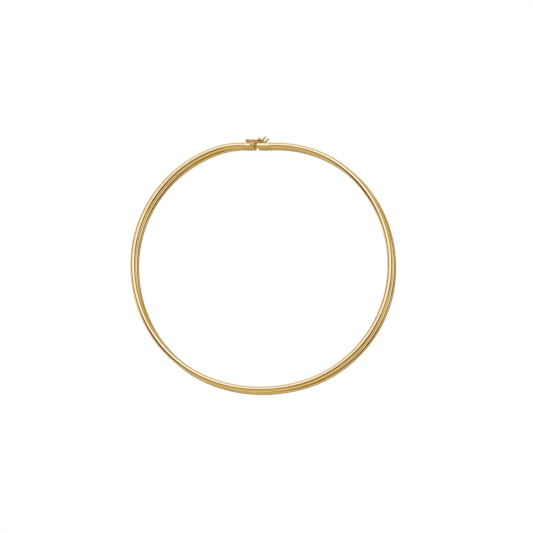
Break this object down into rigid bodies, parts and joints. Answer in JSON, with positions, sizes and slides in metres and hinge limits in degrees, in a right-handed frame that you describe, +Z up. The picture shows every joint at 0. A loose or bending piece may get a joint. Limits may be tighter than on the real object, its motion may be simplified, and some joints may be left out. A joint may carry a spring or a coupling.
{
  "type": "two-row collar choker",
  "caption": "Rigid round collar necklace of two stacked hollow gold tubes with a box clasp, thumb tab and figure-eight safety catches.",
  "frame": {"origin": "centre of the neck opening, on the surface that the collar lies on", "axes": "+Z up through the neck opening, +Y towards the clasp at the back of the neck, +X to the right of the clasp seen from above"},
  "size_m": [0.1353, 0.1302, 0.0076],
  "materials": {
    "row_gold": "polished",
    "clasp_gold": "polished",
    "tongue_gold": "satin",
    "wire_gold": "polished"
  },
  "bodies": {
    "collar": {"upper_row": "row_gold", "lower_row": "row_gold", "tongue_end": "clasp_gold", "box": "clasp_gold", "spring_tongue": "tongue_gold"},
    "upper_catch": {"upper_safety": "wire_gold"},
    "lower_catch": {"lower_safety": "wire_gold"}
  },
  "joints": [
    {"name": "upper_catch_hinge", "type": "hinge", "parent": "collar", "child": "upper_catch", "pos_m": [-0.0127, 0.06488, 0.00445], "axis": [0, 0, 1], "range_deg": [0, 120]},
    {"name": "lower_catch_hinge", "type": "hinge", "parent": "collar", "child": "lower_catch", "pos_m": [-0.01204, 0.06472, 0.00145], "axis": [0, 0, 1], "range_deg": [0, 120]}
  ]
}
